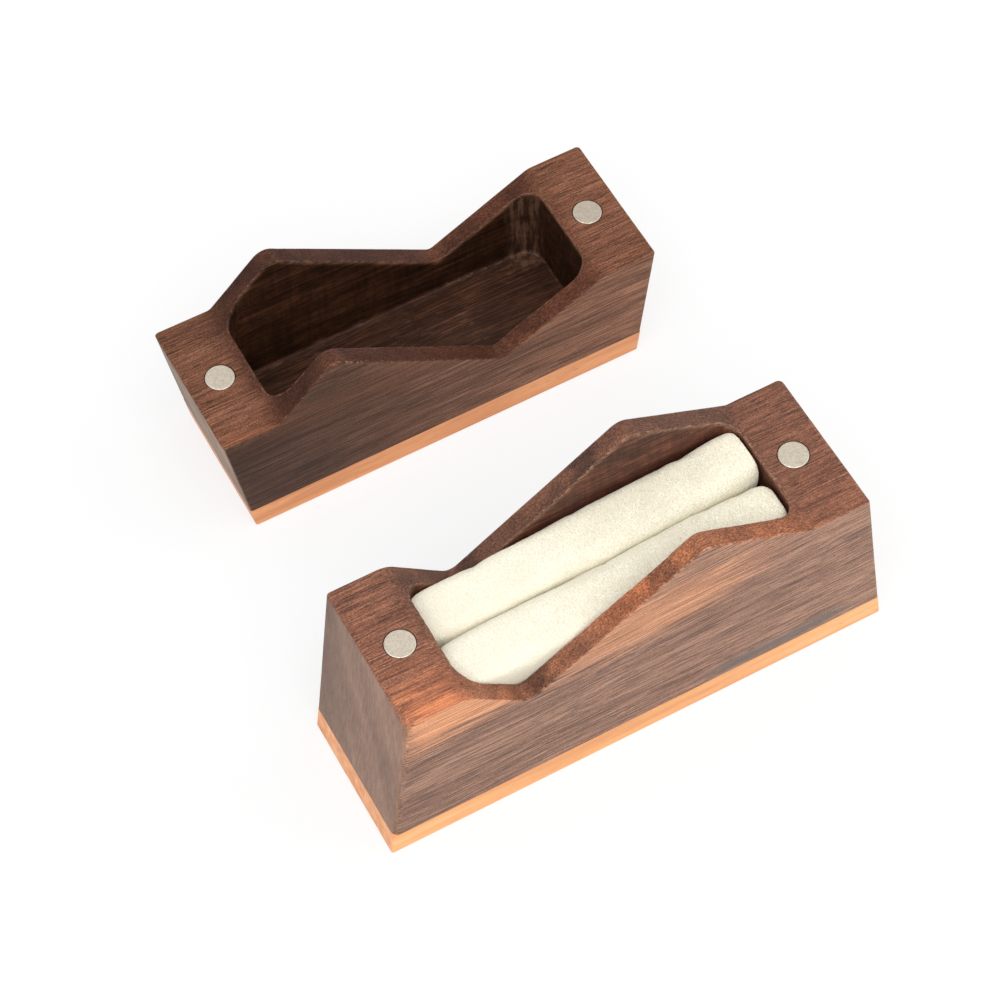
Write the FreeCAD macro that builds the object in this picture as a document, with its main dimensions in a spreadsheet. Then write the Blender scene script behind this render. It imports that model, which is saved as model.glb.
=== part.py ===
import FreeCAD, Part
import Sketcher
import math
import os

# Slim ring box in two halves: a base that holds a slotted velvet cushion, and a lift-off lid.
# Both halves meet along one mountain-shaped parting line and are kept shut by disc magnets.
# Frame: millimetres, X along the length, Y across it, Z up, origin under the middle of the base.
# The lid is turned over and stands on its cherry face, behind the base.

DIMENSIONS = {
    # overall form of the closed box
    "base_length": 72.0,
    "top_length": 58.8,
    "box_width": 21.2,
    "closed_height": 50.0,
    "edge_ease": 0.3,
    # parting line: level end shelves, a valley to the left and a peak to the right
    "shelf_height": 29.6,
    "shelf_length": 8.7,
    "shoulder_margin": 0.6,
    "valley_offset": 15.6,
    "valley_depth": 8.0,
    "peak_offset": 8.5,
    "peak_rise": 7.9,
    "crest_round": 2.0,
    "crease_round": 1.0,
    "parting_gap": 0.15,
    # cherry faces glued under the base and over the lid
    "sole_thickness": 4.2,
    "cap_thickness": 3.9,
    # routed pockets
    "side_wall": 2.6,
    "pocket_corner": 3.0,
    "pocket_depth": 16.0,
    "lid_floor": 2.5,
    # disc magnets in the end shelves
    "magnet_diameter": 4.0,
    "magnet_thickness": 2.0,
    "magnet_clearance": 0.15,
    "magnet_inset": 4.1,
    "magnet_ease": 0.15,
    # cushion of two velvet rolls with the ring's slot between them
    "cushion_drop": 2.2,
    "cushion_clearance": 0.25,
    "ring_slot": 0.2,
    "cushion_round": 2.6,
    "velvet_thickness": 0.7,
    "velvet_clearance": 0.1,
    # distance from the base to the turned-over lid, middle to middle
    "lid_setback": 52.2,
}

# Sizes that follow from the driving dimensions, as expressions of the sheet.
END_SLOPE = "(Dims.base_length - Dims.top_length) / 2 / Dims.closed_height"
SHELF_END = f"(Dims.base_length / 2 - Dims.shelf_height * {END_SLOPE})"
POCKET_HALF_LENGTH = f"({SHELF_END} - Dims.shelf_length)"
POCKET_HALF_WIDTH = "(Dims.box_width / 2 - Dims.side_wall)"
SHOULDER = f"({POCKET_HALF_LENGTH} + Dims.shoulder_margin)"
MAGNET_OFFSET = f"({POCKET_HALF_LENGTH} + Dims.magnet_inset)"
LID_SHELF = "(Dims.closed_height - Dims.shelf_height - Dims.parting_gap)"
LID_POCKET_DEPTH = f"({LID_SHELF} - Dims.cap_thickness - Dims.lid_floor)"
BASE_FLOOR = "(Dims.shelf_height - Dims.pocket_depth)"
CUSHION_LENGTH = f"(2 * {POCKET_HALF_LENGTH} - 2 * Dims.cushion_clearance)"
CUSHION_HEIGHT = "(Dims.pocket_depth - Dims.cushion_drop)"
ROLL_WIDTH = f"({POCKET_HALF_WIDTH} - Dims.cushion_clearance - Dims.ring_slot / 2)"
ROLL_OFFSET = f"(Dims.ring_slot / 2 + {ROLL_WIDTH} / 2)"
FOAM_INSET = "(Dims.velvet_thickness + Dims.velvet_clearance)"

# A fillet takes up less than half of the wall that carries it, and a crown less than its corner.
FILLET_SHARE = 0.45
CROWN_SHARE = 0.9
TOLERANCE = 1e-4
ROUGH_RADIUS = 10.0

os.makedirs("parts", exist_ok=True)
doc = FreeCAD.newDocument("ring_box")


def make_sheet():
    """The driving dimensions, one row each."""
    sheet = doc.addObject("Spreadsheet::Sheet", "Dims")
    for row, (alias, size) in enumerate(DIMENSIONS.items(), start=1):
        sheet.set(f"A{row}", alias)
        sheet.set(f"B{row}", str(size))
        sheet.setAlias(f"B{row}", alias)
    doc.recompute()


def half_length(height):
    """Half the length of the closed box at a height above its foot."""
    return f"Dims.base_length / 2 - ({height}) * {END_SLOPE}"


def limited(radius, wall):
    """A fillet radius that stays within the wall that carries it."""
    return f"min({radius}; {FILLET_SHARE} * {wall})"


def origin_plane(body, role):
    """One of the body's own origin planes."""
    for feature in body.Origin.OriginFeatures:
        if feature.Role == role:
            return feature
    raise ValueError(f"{body.Label} has no {role}")


def new_body(name):
    """An empty body whose label is the name of the piece."""
    body = doc.addObject("PartDesign::Body", name)
    body.Label = name
    return body


def new_sketch(body, name, role, offset=None):
    """A sketch on one of the body's origin planes, lifted by an offset."""
    sketch = body.newObject("Sketcher::SketchObject", name)
    sketch.AttachmentSupport = (origin_plane(body, role), [""])
    sketch.MapMode = "FlatFace"
    if offset:
        sketch.setExpression(".AttachmentOffset.Base.z", offset)
    return sketch


def drive(sketch, constraint, expression):
    """Add a constraint whose size follows an expression."""
    index = sketch.addConstraint(constraint)
    sketch.setExpression(f"Constraints[{index}]", expression)


def draw_polygon(sketch, corners):
    """A closed outline through corners given as pairs of expressions from the sketch's origin."""
    count = len(corners)
    rough = []
    for index in range(count):
        turn = 2 * math.pi * index / count
        rough.append(FreeCAD.Vector(math.cos(turn), math.sin(turn), 0) * ROUGH_RADIUS)
    for index in range(count):
        sketch.addGeometry(Part.LineSegment(rough[index], rough[(index + 1) % count]), False)
    for index in range(count):
        sketch.addConstraint(Sketcher.Constraint("Coincident", index, 2, (index + 1) % count, 1))
    for index, (across, up) in enumerate(corners):
        start = rough[index]
        drive(sketch, Sketcher.Constraint("DistanceX", -1, 1, index, 1, start.x), across)
        drive(sketch, Sketcher.Constraint("DistanceY", -1, 1, index, 1, start.y), up)


def draw_rectangle(sketch, half_x, half_y):
    """A rectangle centred on the sketch's origin."""
    corners = [(f"-{half_x}", f"-{half_y}"), (half_x, f"-{half_y}")]
    corners += [(half_x, half_y), (f"-{half_x}", half_y)]
    draw_polygon(sketch, corners)


def draw_circle(sketch, centre_x, radius):
    """A circle on the sketch's X axis."""
    index = sketch.GeometryCount
    middle = FreeCAD.Vector(ROUGH_RADIUS, 0, 0)
    sketch.addGeometry(Part.Circle(middle, FreeCAD.Vector(0, 0, 1), 1), False)
    drive(sketch, Sketcher.Constraint("DistanceX", -1, 1, index, 3, ROUGH_RADIUS), centre_x)
    drive(sketch, Sketcher.Constraint("DistanceY", -1, 1, index, 3, 0), "0")
    drive(sketch, Sketcher.Constraint("Radius", index, 1), radius)


def pad(body, sketch, length, symmetric=False):
    """Pad a sketch, upwards or to both sides."""
    feature = body.newObject("PartDesign::Pad", f"{sketch.Name}_pad")
    feature.Profile = sketch
    if symmetric:
        feature.SideType = "Symmetric"
    feature.setExpression("Length", length)
    doc.recompute()
    return feature


def pocket(body, sketch, depth):
    """Cut down from a sketch, and make sure that the cut took something away."""
    before = body.Shape.Volume
    feature = body.newObject("PartDesign::Pocket", f"{sketch.Name}_pocket")
    feature.Profile = sketch
    feature.setExpression("Length", depth)
    doc.recompute()
    if body.Shape.Volume > before - TOLERANCE:
        raise ValueError(f"{feature.Name} cut nothing")
    return feature


def fillet(body, name, base, test, radius):
    """Round every edge of the base feature that passes the test."""
    names = []
    for number, edge in enumerate(base.Shape.Edges, start=1):
        if test(edge):
            names.append(f"Edge{number}")
    if not names:
        raise ValueError(f"{name} found no edge")
    feature = body.newObject("PartDesign::Fillet", name)
    feature.Base = (base, names)
    feature.setExpression("Radius", radius)
    doc.recompute()
    return feature


def runs_along(edge, axis):
    """True for a straight edge parallel to the x, y or z axis."""
    box = edge.BoundBox
    sizes = {"x": box.XLength, "y": box.YLength, "z": box.ZLength}
    along = sizes.pop(axis)
    return along > TOLERANCE and max(sizes.values()) < TOLERANCE


def lies_level(edge, height):
    """True for a level edge at a height."""
    box = edge.BoundBox
    return box.ZLength < TOLERANCE and abs(box.ZMin - height) < TOLERANCE


def lies_on_sides(edge, half_width):
    """True for an edge in the front or the back face."""
    box = edge.BoundBox
    return box.YLength < TOLERANCE and abs(abs(box.YMin) - half_width) < TOLERANCE


def parting_corners(solid):
    """The corners of the parting line from left to right, as (x, height over its neighbours' chord)."""
    bottom = solid.Shape.BoundBox.ZMin
    line = {}
    for vertex in solid.Shape.Vertexes:
        if vertex.Z > bottom + TOLERANCE:
            line[round(vertex.X, 6)] = vertex.Z
    stations = sorted(line)
    corners = []
    for left, middle, right in zip(stations, stations[1:], stations[2:]):
        share = (middle - left) / (right - left)
        chord = line[left] + share * (line[right] - line[left])
        corners.append((middle, line[middle] - chord))
    return corners


def round_corners(body, feature, stations, kind):
    """Round the edges that cross the box's width at some stations of the parting line."""

    def crosses_there(edge):
        across = runs_along(edge, "y")
        return across and any(abs(edge.BoundBox.XMin - x) < TOLERANCE for x in stations)

    return fillet(body, f"{body.Name}_{kind}_round", feature, crosses_there, f"Dims.{kind}_round")


def round_profile(body, solid):
    """Round the parting line: its crests where they are sanded, and its creases where the saw turns."""
    corners = parting_corners(solid)
    crests = [x for x, height in corners if height > 0]
    creases = [x for x, height in corners if height < 0]
    rounded = round_corners(body, solid, crests, "crest")
    return round_corners(body, rounded, creases, "crease")


def rout_pocket(body, depth, shelf, summit):
    """Rout the straight-walled pocket, with the cutter's radius in its corners."""
    sketch = new_sketch(body, f"{body.Name}_opening", "XY_Plane", f"{shelf} + {summit}")
    draw_rectangle(sketch, POCKET_HALF_LENGTH, POCKET_HALF_WIDTH)
    hollow = pocket(body, sketch, f"{depth} + {summit}")
    outside = hollow.Shape.BoundBox.YMax

    def stands_in_a_corner(edge):
        return runs_along(edge, "z") and abs(edge.BoundBox.YMin) < outside - TOLERANCE

    name = f"{body.Name}_pocket_corner"
    return fillet(body, name, hollow, stands_in_a_corner, "Dims.pocket_corner")


def bore_for_magnets(body, shelf):
    """Sink a blind bore for a magnet into the middle of each end shelf."""
    sketch = new_sketch(body, f"{body.Name}_bores", "XY_Plane", shelf)
    radius = "Dims.magnet_diameter / 2 + Dims.magnet_clearance"
    for side in ("-", ""):
        draw_circle(sketch, side + MAGNET_OFFSET, radius)
    return pocket(body, sketch, "Dims.magnet_thickness")


def ease_outside(body, feature, glue_height):
    """Ease the outer edges, but leave the face that is glued sharp."""
    shape = feature.Shape
    half_width = shape.BoundBox.YMax
    free_ends = [vertex.X for vertex in shape.Vertexes if abs(vertex.Z - glue_height) > TOLERANCE]
    end = max(free_ends)

    def is_outside(edge):
        box = edge.BoundBox
        if lies_level(edge, glue_height):
            return False
        if lies_on_sides(edge, half_width):
            return True
        return runs_along(edge, "y") and abs(abs(box.XMin) - end) < TOLERANCE

    return fillet(body, f"{body.Name}_edge_ease", feature, is_outside, "Dims.edge_ease")


def make_block(name, corners, shelf, summit, pocket_depth):
    """One walnut half of the box, standing on the face that is glued to the cherry."""
    body = new_body(name)
    outline = new_sketch(body, f"{name}_outline", "XZ_Plane")
    draw_polygon(outline, corners)
    solid = pad(body, outline, "Dims.box_width", symmetric=True)
    round_profile(body, solid)
    rout_pocket(body, pocket_depth, shelf, summit)
    bored = bore_for_magnets(body, shelf)
    ease_outside(body, bored, solid.Shape.BoundBox.ZMin)
    return body


def make_base_block():
    """Walnut base, with the valley to the left and the peak to the right."""
    foot = half_length("Dims.sole_thickness")
    corners = [
        (f"-({foot})", "Dims.sole_thickness"),
        (foot, "Dims.sole_thickness"),
        (SHELF_END, "Dims.shelf_height"),
        (SHOULDER, "Dims.shelf_height"),
        ("Dims.peak_offset", "Dims.shelf_height + Dims.peak_rise"),
        ("-Dims.valley_offset", "Dims.shelf_height - Dims.valley_depth"),
        (f"-{SHOULDER}", "Dims.shelf_height"),
        (f"-{SHELF_END}", "Dims.shelf_height"),
    ]
    shelf = "Dims.shelf_height"
    return make_block("base_block", corners, shelf, "Dims.peak_rise", "Dims.pocket_depth")


def make_lid_block():
    """Walnut lid, turned over: its peak fits the base's valley, and its valley the base's peak."""
    foot = half_length("Dims.closed_height - Dims.cap_thickness")
    end = half_length("Dims.shelf_height + Dims.parting_gap")
    corners = [
        (f"-({foot})", "Dims.cap_thickness"),
        (foot, "Dims.cap_thickness"),
        (end, LID_SHELF),
        (SHOULDER, LID_SHELF),
        ("Dims.peak_offset", f"{LID_SHELF} - Dims.peak_rise"),
        ("-Dims.valley_offset", f"{LID_SHELF} + Dims.valley_depth"),
        (f"-{SHOULDER}", LID_SHELF),
        (f"-({end})", LID_SHELF),
    ]
    body = make_block("lid_block", corners, LID_SHELF, "Dims.valley_depth", LID_POCKET_DEPTH)
    body.setExpression(".Placement.Base.y", "Dims.lid_setback")
    return body


def make_plate(name, thickness, foot, top):
    """A cherry face with the slope of the box's ends, standing on its outer side."""
    body = new_body(name)
    outline = new_sketch(body, f"{name}_outline", "XZ_Plane")
    corners = [(f"-({foot})", "0"), (foot, "0"), (top, thickness), (f"-({top})", thickness)]
    draw_polygon(outline, corners)
    solid = pad(body, outline, "Dims.box_width", symmetric=True)
    ease_outside(body, solid, solid.Shape.BoundBox.ZMax)
    return body


def make_plates():
    """The cherry sole under the base and the cherry cap over the lid."""
    glued = half_length("Dims.sole_thickness")
    sole = make_plate("base_sole", "Dims.sole_thickness", half_length("0"), glued)
    outer = half_length("Dims.closed_height")
    inner = half_length("Dims.closed_height - Dims.cap_thickness")
    cap = make_plate("lid_cap", "Dims.cap_thickness", outer, inner)
    cap.setExpression(".Placement.Base.y", "Dims.lid_setback")
    return [sole, cap]


def make_magnet(name, side, shelf, setback):
    """A nickel-plated disc that sits flush in its bore."""
    body = new_body(name)
    outline = new_sketch(body, f"{name}_outline", "XY_Plane")
    draw_circle(outline, "0", "Dims.magnet_diameter / 2")
    disc = pad(body, outline, "Dims.magnet_thickness")

    def is_rim(edge):
        return edge.BoundBox.ZLength < TOLERANCE

    fillet(body, f"{name}_ease", disc, is_rim, limited("Dims.magnet_ease", "Dims.magnet_thickness"))
    body.setExpression(".Placement.Base.x", side + MAGNET_OFFSET)
    body.setExpression(".Placement.Base.y", setback)
    body.setExpression(".Placement.Base.z", f"{shelf} - Dims.magnet_thickness")
    return body


def make_magnets():
    """Two magnets in the base and two in the lid, which face each other when the box is shut."""
    pieces = []
    for end, side in (("left", "-"), ("right", "")):
        pieces.append(make_magnet(f"base_magnet_{end}", side, "Dims.shelf_height", "0"))
        pieces.append(make_magnet(f"lid_magnet_{end}", side, LID_SHELF, "Dims.lid_setback"))
    return pieces


def make_bar(name, inset):
    """A soft bar with rounded corners and crown: one cushion roll, made smaller by an inset."""
    length = f"({CUSHION_LENGTH} - 2 * {inset})"
    width = f"({ROLL_WIDTH} - 2 * {inset})"
    body = new_body(name)
    outline = new_sketch(body, f"{name}_outline", "XY_Plane")
    draw_rectangle(outline, f"{length} / 2", f"{width} / 2")
    solid = pad(body, outline, f"{CUSHION_HEIGHT} - {inset}")

    def is_upright(edge):
        return runs_along(edge, "z")

    corner = limited(f"(Dims.pocket_corner - {inset})", width)
    cornered = fillet(body, f"{name}_corners", solid, is_upright, corner)
    top = cornered.Shape.BoundBox.ZMax

    def is_crown(edge):
        return lies_level(edge, top)

    crown = f"min(Dims.cushion_round - {inset}; {CROWN_SHARE} * {corner})"
    fillet(body, f"{name}_crown", cornered, is_crown, crown)
    return body


def make_roll(place, side):
    """One cushion roll: a foam core, and the velvet glued round its top, sides and ends."""
    core = make_bar(f"foam_core_{place}", FOAM_INSET)
    outside = make_bar(f"velvet_{place}_outside", "0")
    inside = make_bar(f"velvet_{place}_inside", "Dims.velvet_thickness")
    cover = doc.addObject("Part::Cut", f"velvet_cover_{place}")
    cover.Base = outside
    cover.Tool = inside
    cover.Label = f"velvet_cover_{place}"
    for piece in (core, cover):
        piece.setExpression(".Placement.Base.y", side + ROLL_OFFSET)
        piece.setExpression(".Placement.Base.z", BASE_FLOOR)
    doc.recompute()
    return [core, cover]


def check_document():
    """Stop if any object of the document failed."""
    for item in doc.Objects:
        if "Invalid" in item.State or "Error" in item.State:
            raise ValueError(f"{item.Label} is {item.State}")


def export(pieces):
    """Write each piece to its own file, once all of them are whole."""
    for piece in pieces:
        if piece.Shape.isNull() or not piece.Shape.isValid() or len(piece.Shape.Solids) != 1:
            raise ValueError(f"{piece.Label} is not one valid solid")
    for piece in pieces:
        piece.Shape.exportStep(f"parts/{piece.Label}.step")
        print(f"{piece.Label}: {piece.Shape.Volume:.1f} mm3")


make_sheet()
pieces = [make_base_block(), make_lid_block()]
pieces += make_plates()
pieces += make_magnets()
pieces += make_roll("front", "-")
pieces += make_roll("back", "")
doc.recompute()
check_document()
export(pieces)
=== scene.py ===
"""Dresses the two halves of a slim magnetic ring box: walnut, cherry, nickel and cream velvet."""

import logging
import math
from abc import ABC, abstractmethod
from contextlib import contextmanager
from dataclasses import dataclass, field
from enum import Enum
from typing import Iterator, Sequence

import bmesh
import bpy
import numpy as np
from mathutils import Matrix, Vector


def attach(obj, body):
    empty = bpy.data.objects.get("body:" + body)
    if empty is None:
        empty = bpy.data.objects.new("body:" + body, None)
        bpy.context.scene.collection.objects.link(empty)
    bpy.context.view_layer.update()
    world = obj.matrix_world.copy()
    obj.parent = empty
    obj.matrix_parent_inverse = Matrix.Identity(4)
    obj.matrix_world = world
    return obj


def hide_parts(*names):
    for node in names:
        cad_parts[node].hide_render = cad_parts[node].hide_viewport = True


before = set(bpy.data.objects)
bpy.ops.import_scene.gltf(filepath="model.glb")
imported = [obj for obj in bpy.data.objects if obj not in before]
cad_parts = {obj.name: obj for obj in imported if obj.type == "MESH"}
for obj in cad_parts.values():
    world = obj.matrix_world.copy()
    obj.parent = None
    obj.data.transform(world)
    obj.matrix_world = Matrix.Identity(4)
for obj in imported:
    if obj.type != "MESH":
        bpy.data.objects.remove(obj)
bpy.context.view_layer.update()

MM = 0.001
MIDDLE = 0.5  # the middle of a noise, a figure or a colour ramp
LOG = logging.getLogger("ring_box")

Triple = tuple[float, float, float]
Colour = tuple[float, float, float, float]
Inputs = dict[str | int, object]
Loop = np.ndarray

WHITE: Colour = (1.0, 1.0, 1.0, 1.0)


class Body(str, Enum):
    """The two bodies of the box."""

    BASE = "base"
    LID = "lid"


class Slot(str, Enum):
    """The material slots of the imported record."""

    WALNUT = "walnut"
    VELVET = "velvet"
    FOAM = "foam"


class Mark(str, Enum):
    """What a walnut mesh holds at each vertex, from 0 to 1."""

    WEAR_AND_HIGHLIGHT = "wear_and_highlight"
    RIM = "rim"
    SLOPE = "slope"
    END = "end"
    POCKET = "pocket"


def paint(red: int, green: int, blue: int) -> Colour:
    """Turns a colour of 0 to 255 per channel into the linear colour that a shader reads.

    Args:
        red: Red, as a screen shows it.
        green: Green, as a screen shows it.
        blue: Blue, as a screen shows it.

    Returns:
        The linear colour with full alpha.
    """
    channels = []
    for value in (red, green, blue):
        share = value / 255
        channels.append(share / 12.92 if share <= 0.04045 else ((share + 0.055) / 1.055) ** 2.4)
    return channels[0], channels[1], channels[2], 1.0


class Grain:
    """Smooth repeatable noise on a lattice, for small unevenness in the meshes."""

    def __init__(self, seed: int) -> None:
        """Fills the lattice with random values.

        Args:
            seed: Picks the pattern.
        """
        self.side = 64
        self.values = np.random.default_rng(seed).uniform(-1.0, 1.0, self.side**3)

    def at(self, points: np.ndarray, cell: Sequence[float]) -> np.ndarray:
        """Reads the noise at some points.

        Args:
            points: Points in millimetres, one row each.
            cell: The size of one lattice cell along X, Y and Z, in millimetres.

        Returns:
            One value from -1 to 1 for each point.
        """
        scaled = points / np.asarray(cell, float) + self.side * 8
        low = np.floor(scaled).astype(int)
        share = scaled - low
        share = share * share * (3 - 2 * share)
        total = np.zeros(len(points))
        for far in np.ndindex(2, 2, 2):
            corner = (low + far) % self.side
            index = (corner[:, 0] * self.side + corner[:, 1]) * self.side + corner[:, 2]
            total += np.where(far, share, 1 - share).prod(axis=1) * self.values[index]
        return total


class Value:
    """A number, place or colour inside a material, open to plain arithmetic."""

    def __init__(self, graph: "Graph", socket: bpy.types.NodeSocket) -> None:
        """Wraps a node's output.

        Args:
            graph: The graph that the node belongs to.
            socket: The output.
        """
        self.graph = graph
        self.socket = socket

    def _math(self, operation: str, first: object, second: object = 0.0) -> "Value":
        """Returns the result of one calculation."""
        return self.graph.add("Math", {0: first, 1: second}, operation=operation)

    def __add__(self, other: "Value | float") -> "Value":
        """Returns the sum."""
        return self._math("ADD", self, other)

    def __radd__(self, other: float) -> "Value":
        """Returns the sum."""
        return self + other

    def __sub__(self, other: "Value | float") -> "Value":
        """Returns the difference."""
        return self._math("SUBTRACT", self, other)

    def __rsub__(self, other: float) -> "Value":
        """Returns the difference from a number."""
        return self._math("SUBTRACT", other, self)

    def __mul__(self, other: "Value | float") -> "Value":
        """Returns the product."""
        return self._math("MULTIPLY", self, other)

    def __pow__(self, exponent: float) -> "Value":
        """Returns the power."""
        return self._math("POWER", self, exponent)

    def __abs__(self) -> "Value":
        """Returns the size without the sign."""
        return self._math("ABSOLUTE", self)

    def at_least(self, other: "Value") -> "Value":
        """Returns the larger of two numbers."""
        return self._math("MAXIMUM", self, other)

    def around(self, weight: float) -> "Value":
        """Returns how far a noise is from its middle, times a weight."""
        return (self - MIDDLE) * weight

    def parts(self) -> tuple["Value", ...]:
        """Returns the place's X, Y and Z."""
        x = self.graph.add("SeparateXYZ", {0: self})
        return tuple(Value(self.graph, output) for output in x.socket.node.outputs)

    def moved(self, offset: "Value") -> "Value":
        """Returns the place, moved by an offset."""
        return self.graph.add("VectorMath", {0: self, 1: offset}, operation="ADD")

    def mapped(self, scale: Triple = (1.0, 1.0, 1.0), turn: Triple = (0.0, 0.0, 0.0)) -> "Value":
        """Returns the place, scaled and then turned."""
        return self.graph.add("Mapping", {"Vector": self, "Scale": scale, "Rotation": turn})

    def along(self, share: float) -> "Value":
        """Returns the place with its X squeezed to a share, so that what is drawn there runs along X."""
        return self.mapped((share, 1.0, 1.0))

    def upright(self, share: float) -> "Value":
        """Returns the place with its Z squeezed to a share, so that what is drawn there runs upwards."""
        return self.mapped((1.0, 1.0, share))

    def noise(self, scale: float, detail: float = 2.0, roughness: float = 0.5) -> "Value":
        """Returns a noise from about 0.2 to 0.8, whose spots are one over the scale across."""
        settings: Inputs = {"Vector": self, "Scale": scale, "Detail": detail, "Roughness": roughness}
        return self.graph.add("TexNoise", settings)

    def sway(self, scale: float, reach: Triple) -> "Value":
        """Makes an offset that wanders slowly with the place.

        Args:
            scale: How many waves a millimetre holds.
            reach: How far it wanders in all along X, Y and Z.

        Returns:
            The offset.
        """
        wander = self.graph.add("TexNoise", {"Vector": self, "Scale": scale, "Detail": 1.0}, "Color")
        centred = self.graph.add("VectorMath", {0: wander, 1: (MIDDLE, MIDDLE, MIDDLE)}, operation="SUBTRACT")
        return self.graph.add("VectorMath", {0: centred, 1: reach}, operation="MULTIPLY")

    def spread(
        self, low: float, high: float, to_low: "Value | float" = 0.0, to_high: "Value | float" = 1.0
    ) -> "Value":
        """Maps the number from one range to another, smoothly and without leaving it.

        Args:
            low: Where the first range starts.
            high: Where it ends.
            to_low: What its start becomes.
            to_high: What its end becomes.

        Returns:
            The mapped number.
        """
        ends: Inputs = {"From Min": low, "From Max": high, "To Min": to_low, "To Max": to_high}
        return self.graph.add("MapRange", {"Value": self} | ends, interpolation_type="SMOOTHSTEP")

    def ramp(self, stops: Sequence[tuple[float, Colour]]) -> "Value":
        """Reads a colour from a row of stops.

        Args:
            stops: Each stop's place, from 0 to 1, and its colour.

        Returns:
            The colour.
        """
        colour = self.graph.add("ValToRGB", {0: self})
        elements = colour.socket.node.color_ramp.elements
        while len(elements) < len(stops):
            elements.new(0.5)
        for element, (place, shade) in zip(elements, stops):
            element.position = place
            element.color = shade
        return colour

    def mixed(self, other: "Value | Colour", share: "Value | float", kind: str = "MIX") -> "Value":
        """Returns this colour with a share of another mixed in."""
        return self.graph.mix(share, self, other, kind)

    def between(self, low: Colour, high: Colour) -> "Value":
        """Returns the colour at this share of the way from one colour to another."""
        return self.graph.mix(self, low, high)

    def tinted(self, tint: "Value | Colour", share: "Value | float" = 1.0) -> "Value":
        """Returns this colour, multiplied by a share of a tint."""
        return self.mixed(tint, share, "MULTIPLY")

    def bump(self, depth: float) -> "Value":
        """Returns a normal that leans with this height, whose relief is a depth in millimetres."""
        return self.graph.add("Bump", {"Height": self, "Distance": depth * MM, "Strength": 1.0})


class Graph:
    """The nodes of a material or a world, written one short call at a time."""

    def __init__(self, owner: bpy.types.Material | bpy.types.World) -> None:
        """Empties the owner's nodes.

        Args:
            owner: The material or the world.
        """
        owner.use_nodes = True
        self.nodes = owner.node_tree.nodes
        self.links = owner.node_tree.links
        self.nodes.clear()

    def add(self, kind: str, inputs: Inputs, output: int | str = 0, **settings: object) -> Value:
        """Adds a node, sets its fields and fills its inputs.

        Args:
            kind: The node's type, without the ShaderNode prefix.
            inputs: Numbers, colours or values by the input's name or number.
            output: Which output is read.
            **settings: The node's own fields.

        Returns:
            The output.
        """
        node = self.nodes.new(f"ShaderNode{kind}")
        for name, value in settings.items():
            setattr(node, name, value)
        for key, value in inputs.items():
            if isinstance(value, Value):
                self.links.new(value.socket, node.inputs[key])
            else:
                node.inputs[key].default_value = value
        return Value(self, node.outputs[output])

    def mix(
        self, share: Value | float, first: Value | Colour, second: Value | Colour, kind: str = "MIX"
    ) -> Value:
        """Returns the mix of two colours."""
        return self.add("Mix", {0: share, 6: first, 7: second}, 2, data_type="RGBA", blend_type=kind)

    def close(self, kind: str, surface: Value) -> None:
        """Leads the surface to an output node of a kind."""
        end = self.nodes.new(f"ShaderNodeOutput{kind}")
        self.links.new(surface.socket, end.inputs["Surface"])

    def position(self) -> Value:
        """Returns the place on the object in millimetres."""
        place = self.add("TexCoord", {}, "Object")
        return self.add("VectorMath", {0: place, "Scale": 1 / MM}, operation="SCALE")

    def mark(self, mark: Mark) -> Value:
        """Returns what the mesh holds at each vertex."""
        return self.add("Attribute", {}, "Fac", attribute_name=mark.value)

    def background(self) -> Value:
        """Tells which rays show the background.

        Returns:
            1 for camera, glossy and transmission rays, and 0 for all others.
        """
        camera = self.add("LightPath", {}, "Is Camera Ray")
        glossy, clear = (camera.socket.node.outputs[f"Is {kind} Ray"] for kind in ("Glossy", "Transmission"))
        return camera.at_least(Value(self, glossy)).at_least(Value(self, clear))


@dataclass(frozen=True)
class Finish(ABC):
    """A procedural material. Lengths in finishes are in millimetres."""

    name: str

    @abstractmethod
    def surface(self, graph: Graph, place: Value) -> Inputs:
        """Draws the finish's nodes.

        Args:
            graph: The material's empty graph.
            place: The place on the object in millimetres.

        Returns:
            The inputs of the surface shader.
        """

    def material(self) -> bpy.types.Material:
        """Builds the finish.

        Returns:
            The material.
        """
        material = bpy.data.materials.new(self.name)
        graph = Graph(material)
        graph.close("Material", graph.add("BsdfPrincipled", self.surface(graph, graph.position())))
        return material


class WoodFace:
    """What a walnut finish reads from its mesh."""

    def __init__(self, graph: Graph, place: Value) -> None:
        """Reads the place's parts and the marks.

        Args:
            graph: The finish's graph.
            place: The place on the object.
        """
        self.place = place
        self.x, self.y, self.z = place.parts()
        self.wear_and_highlight, self.rim, self.slope, self.end, self.pocket = (graph.mark(mark) for mark in Mark)


@dataclass(frozen=True)
class Stain:
    """A stain on the front: its middle and how far it reaches each way."""

    x: float
    z: float
    half_length: float
    half_height: float
    tint: Colour = (0.12, 0.1, 0.09, 1.0)
    strength: float = 0.75


@dataclass(frozen=True)
class Sap:
    """An orange streak along the front's upper edge: where it runs, and how far and how strongly it shows."""

    tint: Colour
    height: float
    rise: float
    reach: float
    strength: float


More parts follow.
